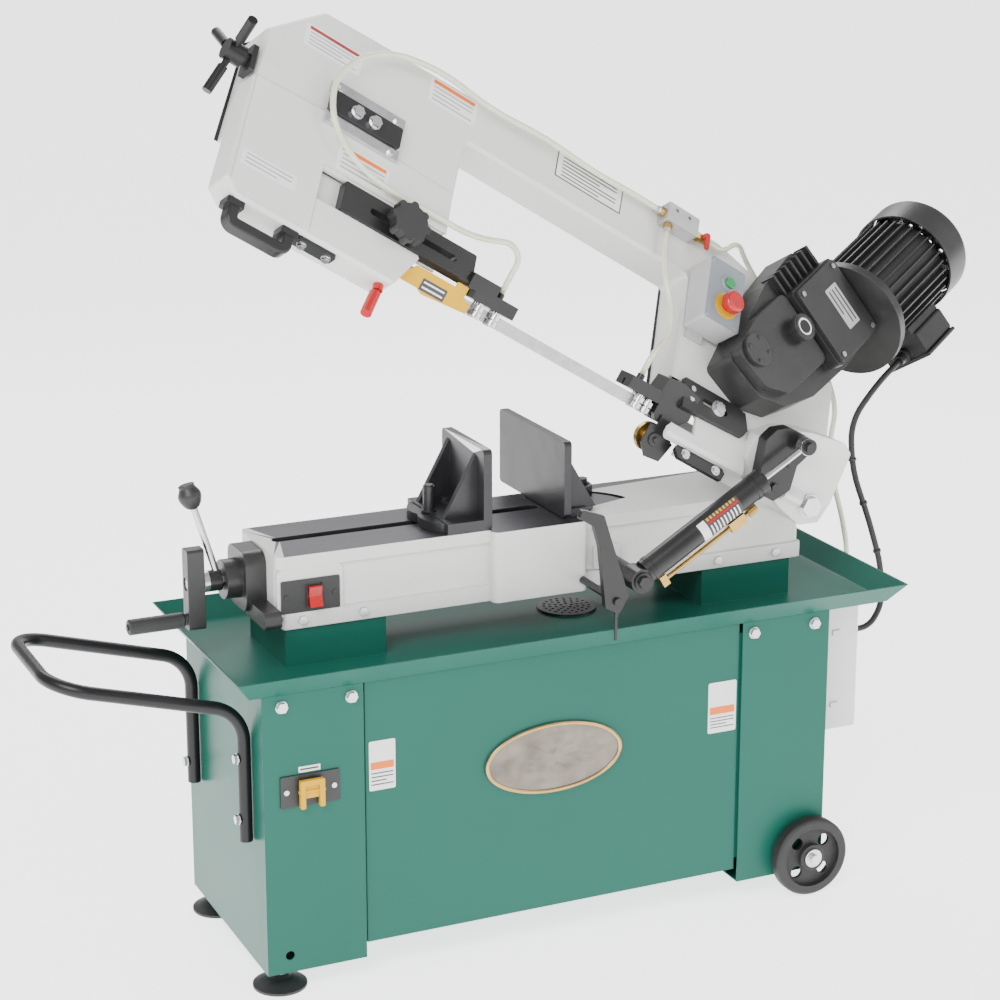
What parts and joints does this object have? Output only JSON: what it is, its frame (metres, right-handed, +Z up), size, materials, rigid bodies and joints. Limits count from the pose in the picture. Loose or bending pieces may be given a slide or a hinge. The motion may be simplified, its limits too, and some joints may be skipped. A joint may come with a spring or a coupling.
{
  "type": "horizontal band saw",
  "caption": "Horizontal metal-cutting band saw on a cabinet stand, with its arm raised, a screw vise, a feed cylinder, a coolant tray and transport wheels.",
  "frame": {"origin": "on the floor, under the middle of the box that holds the whole machine", "axes": "+X along the bed from the free end of the arm to the motor end, +Y from the operator side to the back, +Z up"},
  "size_m": [1.6612, 0.4427, 1.4297],
  "materials": {
    "green_paint": "satin green enamel on sheet steel",
    "grey_paint": "pale warm grey hammered enamel on castings",
    "black_paint": "satin black enamel",
    "cast_black": "dark machined cast iron",
    "steel": "bright machined steel",
    "zinc": "bright plated steel",
    "blade_steel": "ground blade steel",
    "black_plastic": "matte black plastic",
    "grey_plastic": "grey plastic",
    "yellow": "yellow enamel",
    "red_plastic": "glossy red plastic",
    "green_plastic": "glossy green plastic",
    "rubber": "black rubber",
    "tyre": "black rubber tread",
    "brass": "brass wire",
    "clear_hose": "translucent yellowish hose",
    "enamel_box": "pale grey enamel",
    "aluminium": "cast aluminium"
  },
  "bodies": {
    "stand": {"cabinet_legs": "green_paint", "cabinet_panel": "green_paint", "chip_tray": "green_paint", "bed_casting": "grey_paint", "levelling_feet": "black_plastic", "wheel_axle": "zinc", "push_handle": "black_paint", "stand_bolts": "zinc", "front_plates": "black_plastic", "electrical_box": "enamel_box", "coolant_unit": "black_plastic", "screw_housing": "black_paint", "cylinder_foot": "black_paint", "pivot_shaft": "zinc"},
    "front_wheel": {"transport_wheel_front": "tyre"},
    "rear_wheel": {"transport_wheel_rear": "tyre"},
    "coolant_key": {"coolant_switch_key": "yellow"},
    "bed_rocker": {"bed_switch_rocker": "red_plastic"},
    "screw": {"vise_screw": "steel", "vise_crank": "black_paint"},
    "grip": {"crank_grip": "black_plastic"},
    "half_nut_lever": {"release_lever": "zinc"},
    "movable_jaw_body": {"movable_jaw": "cast_black"},
    "fixed_jaw_body": {"fixed_jaw": "cast_black"},
    "stop_rod_body": {"stop_rod": "steel"},
    "stop_arm_body": {"stop_arm": "black_paint"},
    "barrel": {"cylinder_barrel": "black_paint"},
    "feed_rod": {"cylinder_rod": "zinc"},
    "feed_knob": {"feed_valve_knob": "brass"},
    "arm": {"arm_casting": "grey_paint", "wheel_covers": "black_paint", "band_blade": "blade_steel", "cylinder_bracket": "black_paint", "tension_gibs": "steel", "right_guide_bracket": "black_paint", "right_guide_bearings": "zinc", "gearbox": "black_paint", "gearbox_cover": "black_paint", "motor_body": "black_paint", "fan_cowl": "black_paint", "switch_box": "grey_plastic", "lift_handle": "black_plastic", "coolant_manifold": "aluminium", "guide_hoses": "clear_hose", "supply_hose": "clear_hose", "motor_cable": "rubber"},
    "tension_carriage": {"tension_slide": "black_paint"},
    "idler": {"idler_wheel": "grey_paint"},
    "tension_wheel": {"tension_handle": "black_paint"},
    "driver": {"drive_wheel": "grey_paint"},
    "guide_carriage": {"guide_bar": "black_paint", "left_guide_bearings": "zinc", "blade_guard": "yellow"},
    "clamp_knob": {"guide_knob": "black_plastic"},
    "brush": {"wire_brush": "brass"},
    "rotor": {"motor_rotor": "steel"},
    "start": {"start_button": "green_plastic"},
    "stop": {"stop_button": "red_plastic"},
    "manifold_lever": {"coolant_valve_lever": "red_plastic"},
    "cock_lever": {"release_cock": "red_plastic"}
  },
  "joints": [
    {"name": "front_wheel_spin", "type": "hinge", "parent": "stand", "child": "front_wheel", "pos_m": [0.3864, -0.1994, 0.065], "axis": [0, 1, 0], "continuous": true},
    {"name": "rear_wheel_spin", "type": "hinge", "parent": "stand", "child": "rear_wheel", "pos_m": [0.3864, 0.1916, 0.065], "axis": [0, 1, 0], "continuous": true},
    {"name": "coolant_key_rock", "type": "hinge", "parent": "stand", "child": "coolant_key", "pos_m": [-0.4596, -0.1919, 0.322], "axis": [1, 0, 0], "range_deg": [-8, 8]},
    {"name": "bed_rocker_rock", "type": "hinge", "parent": "stand", "child": "bed_rocker", "pos_m": [-0.4116, -0.0888, 0.583], "axis": [1, 0, 0], "range_deg": [-12, 12]},
    {"name": "vise_screw_turn", "type": "hinge", "parent": "stand", "child": "screw", "pos_m": [-0.4306, 0.0036, 0.596], "axis": [1, 0, 0], "continuous": true},
    {"name": "grip_spin", "type": "hinge", "parent": "screw", "child": "grip", "pos_m": [-0.6306, 0.0036, 0.541], "axis": [1, 0, 0], "continuous": true},
    {"name": "half_nut_swing", "type": "hinge", "parent": "stand", "child": "half_nut_lever", "pos_m": [-0.5366, 0.0036, 0.596], "axis": [1, 0, 0], "range_deg": [-70, 20]},
    {"name": "jaw_travel", "type": "slide", "parent": "stand", "child": "movable_jaw_body", "axis": [1, 0, 0], "range_m": [-0.178, 0.115]},
    {"name": "fixed_jaw_swing", "type": "hinge", "parent": "stand", "child": "fixed_jaw_body", "pos_m": [0.0504, -0.0334, 0.646], "axis": [0, 0, 1], "range_deg": [-45, 0]},
    {"name": "stop_rod_travel", "type": "slide", "parent": "stand", "child": "stop_rod_body", "axis": [0, -1, 0], "range_m": [0, 0.09]},
    {"name": "stop_arm_swing", "type": "hinge", "parent": "stop_rod_body", "child": "stop_arm_body", "pos_m": [0.0231, -0.2114, 0.552], "axis": [0, 1, 0], "range_deg": [-85, 20]},
    {"name": "arm_pivot", "type": "hinge", "parent": "stand", "child": "arm", "pos_m": [0.3999, -0.0014, 0.636], "axis": [0, 1, 0], "range_deg": [-31.6, 6], "deforming": ["supply_hose", "motor_cable"]},
    {"name": "barrel_swing", "type": "hinge", "parent": "stand", "child": "barrel", "pos_m": [0.0721, -0.1874, 0.5736], "axis": [0, 1, 0], "range_deg": [-1, 1]},
    {"name": "rod_travel", "type": "slide", "parent": "barrel", "child": "feed_rod", "axis": [0.8572, 0, 0.515], "range_m": [-0.07, 0.02]},
    {"name": "feed_knob_turn", "type": "hinge", "parent": "barrel", "child": "feed_knob", "pos_m": [0.26756, -0.1874, 0.65604], "axis": [0.8572, 0, 0.515], "range_deg": [0, 270]},
    {"name": "tension_turn", "type": "hinge", "parent": "arm", "child": "tension_wheel", "pos_m": [-0.4949, -0.02574, 1.37623], "axis": [0.8517, 0, -0.524], "range_deg": [0, 2160]},
    {"name": "tension_travel", "type": "slide", "parent": "arm", "child": "tension_carriage", "axis": [0.8517, 0, -0.524], "range_m": [0, 0.012]},
    {"name": "idler_spin", "type": "hinge", "parent": "tension_carriage", "child": "idler", "pos_m": [-0.33252, -0.03025, 1.22987], "axis": [0.3005, -0.8192, 0.4885], "continuous": true},
    {"name": "drive_spin", "type": "hinge", "parent": "arm", "child": "driver", "pos_m": [0.33354, -0.03025, 0.82012], "axis": [0.3005, -0.8192, 0.4885], "continuous": true},
    {"name": "rotor_spin", "type": "hinge", "parent": "arm", "child": "rotor", "pos_m": [0.59758, 0.03823, 0.90554], "axis": [0.8239, 0.481, 0.2998], "continuous": true},
    {"name": "guide_travel", "type": "slide", "parent": "arm", "child": "guide_carriage", "axis": [0.8517, 0, -0.524], "range_m": [-0.033, 0.048], "deforming": ["guide_hoses"]},
    {"name": "clamp_knob_turn", "type": "hinge", "parent": "arm", "child": "clamp_knob", "pos_m": [-0.27353, -0.12742, 1.133], "axis": [0.3005, -0.8192, 0.4885], "range_deg": [-180, 0]},
    {"name": "brush_spin", "type": "hinge", "parent": "arm", "child": "brush", "pos_m": [0.12768, -0.1114, 0.77177], "axis": [0, 1, 0], "continuous": true},
    {"name": "start_press", "type": "slide", "parent": "arm", "child": "start", "axis": [-0.3005, 0.8192, -0.4885], "range_m": [0, 0.004], "stiffness_N_per_m": 500},
    {"name": "stop_press", "type": "slide", "parent": "arm", "child": "stop", "axis": [-0.3005, 0.8192, -0.4885], "range_m": [0, 0.006], "stiffness_N_per_m": 500},
    {"name": "manifold_lever_turn", "type": "hinge", "parent": "arm", "child": "manifold_lever", "pos_m": [0.29614, 0.0245, 1.04751], "axis": [0.3005, -0.8192, 0.4885], "range_deg": [0, 90]},
    {"name": "cock_turn", "type": "hinge", "parent": "arm", "child": "cock_lever", "pos_m": [-0.32802, -0.14684, 1.05207], "axis": [0.4292, 0.5736, 0.6977], "range_deg": [-90, 0]}
  ],
  "couplings": [
    {"joint": "barrel_swing", "follows": "arm_pivot", "ratio": -0.0177},
    {"joint": "rod_travel", "follows": "arm_pivot", "m_per_rad": 0.1168},
    {"joint": "tension_travel", "follows": "tension_turn", "m_per_rad": 0.00031831},
    {"joint": "idler_spin", "follows": "drive_spin", "ratio": 1},
    {"joint": "rotor_spin", "follows": "drive_spin", "ratio": 20}
  ]
}
